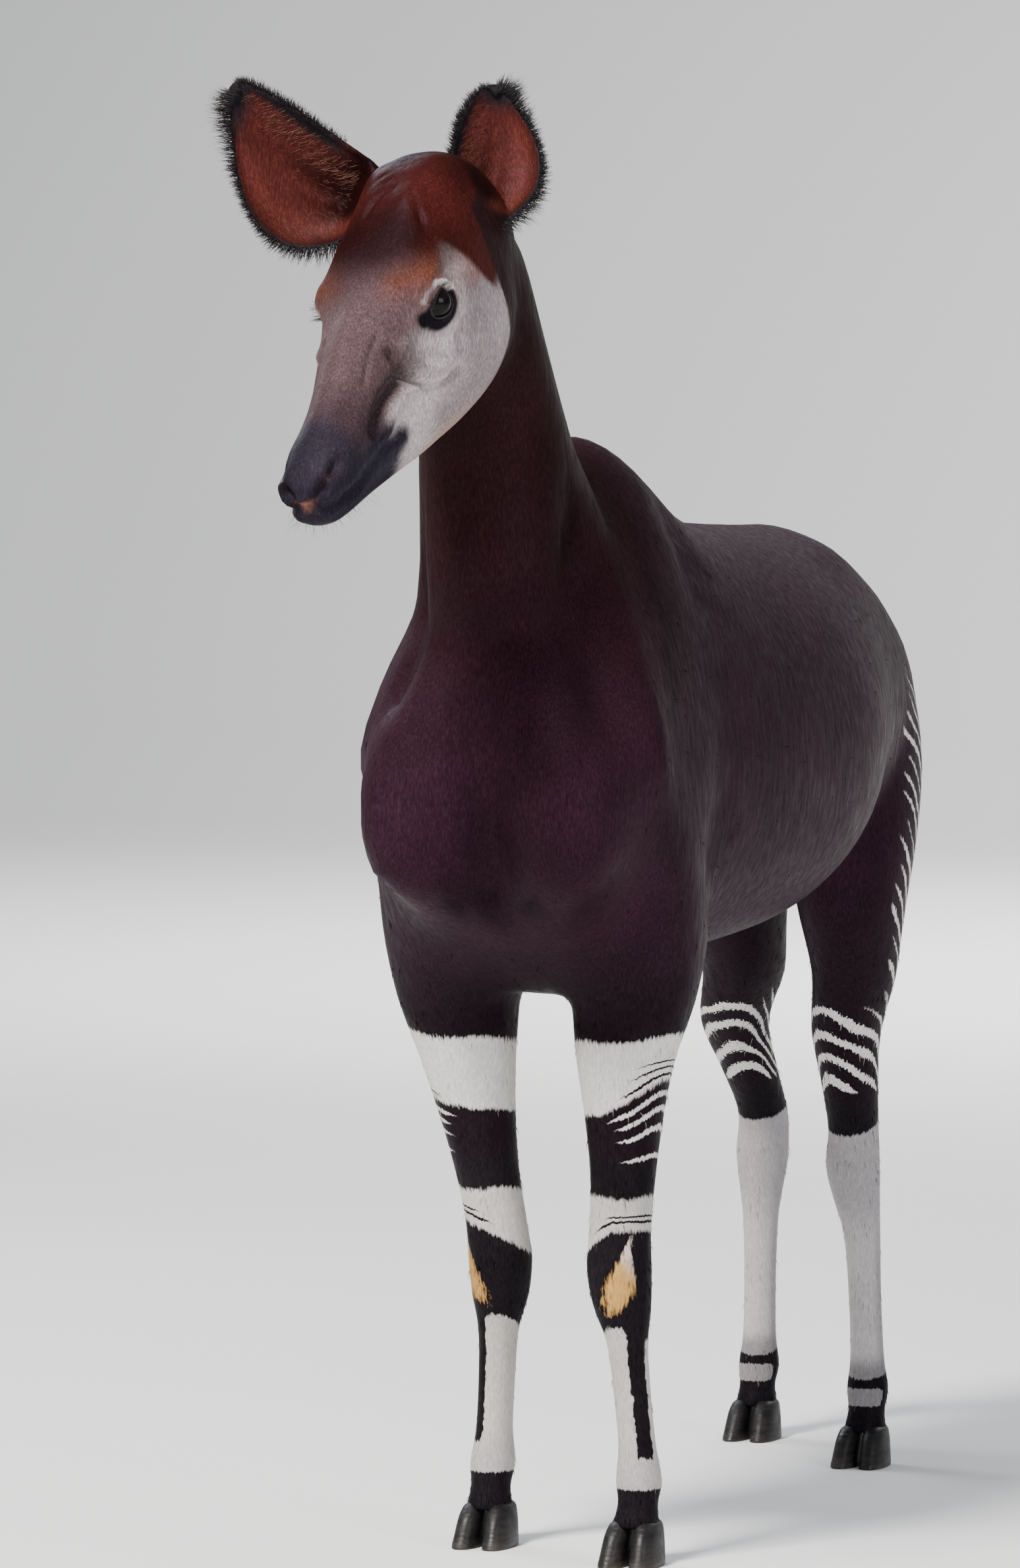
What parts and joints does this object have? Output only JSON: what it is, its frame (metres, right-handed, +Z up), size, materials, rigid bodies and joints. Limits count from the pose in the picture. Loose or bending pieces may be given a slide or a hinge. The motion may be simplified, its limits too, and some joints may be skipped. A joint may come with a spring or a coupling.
{
  "type": "okapi",
  "caption": "Life-size standing okapi as a still museum model, head turned a little to its right, large cupped ears, banded legs, cloven hooves and a tufted tail",
  "frame": {"origin": "centre of the footprint of the bounding box, on the ground under the feet", "axes": "+Z up, the animal faces -Y, its left side is +X"},
  "size_m": [0.6212, 2.163, 1.9952],
  "materials": {
    "coat": "short velvety hair, dark chocolate to black with a bluish sheen; white bands and stripes on the legs",
    "face_hair": "short hair, pale grey cheeks, brown brow and dark muzzle",
    "ear_hair": "short reddish brown hair inside, black rim and fringe",
    "horn": "black horn, dull",
    "eye": "wet, very dark brown"
  },
  "bodies": {
    "root": {"foreleg_left": "coat", "foreleg_left_claw_left": "horn", "foreleg_left_claw_right": "horn", "foreleg_right": "coat", "foreleg_right_claw_left": "horn", "foreleg_right_claw_right": "horn", "hindleg_left": "coat", "hindleg_left_claw_left": "horn", "hindleg_left_claw_right": "horn", "hindleg_right": "coat", "hindleg_right_claw_left": "horn", "hindleg_right_claw_right": "horn", "tail": "coat", "torso": "coat", "head": "face_hair", "eye_left": "eye", "eye_right": "eye", "ear_right": "ear_hair", "ear_left": "ear_hair", "neck": "coat"}
  },
  "joints": []
}
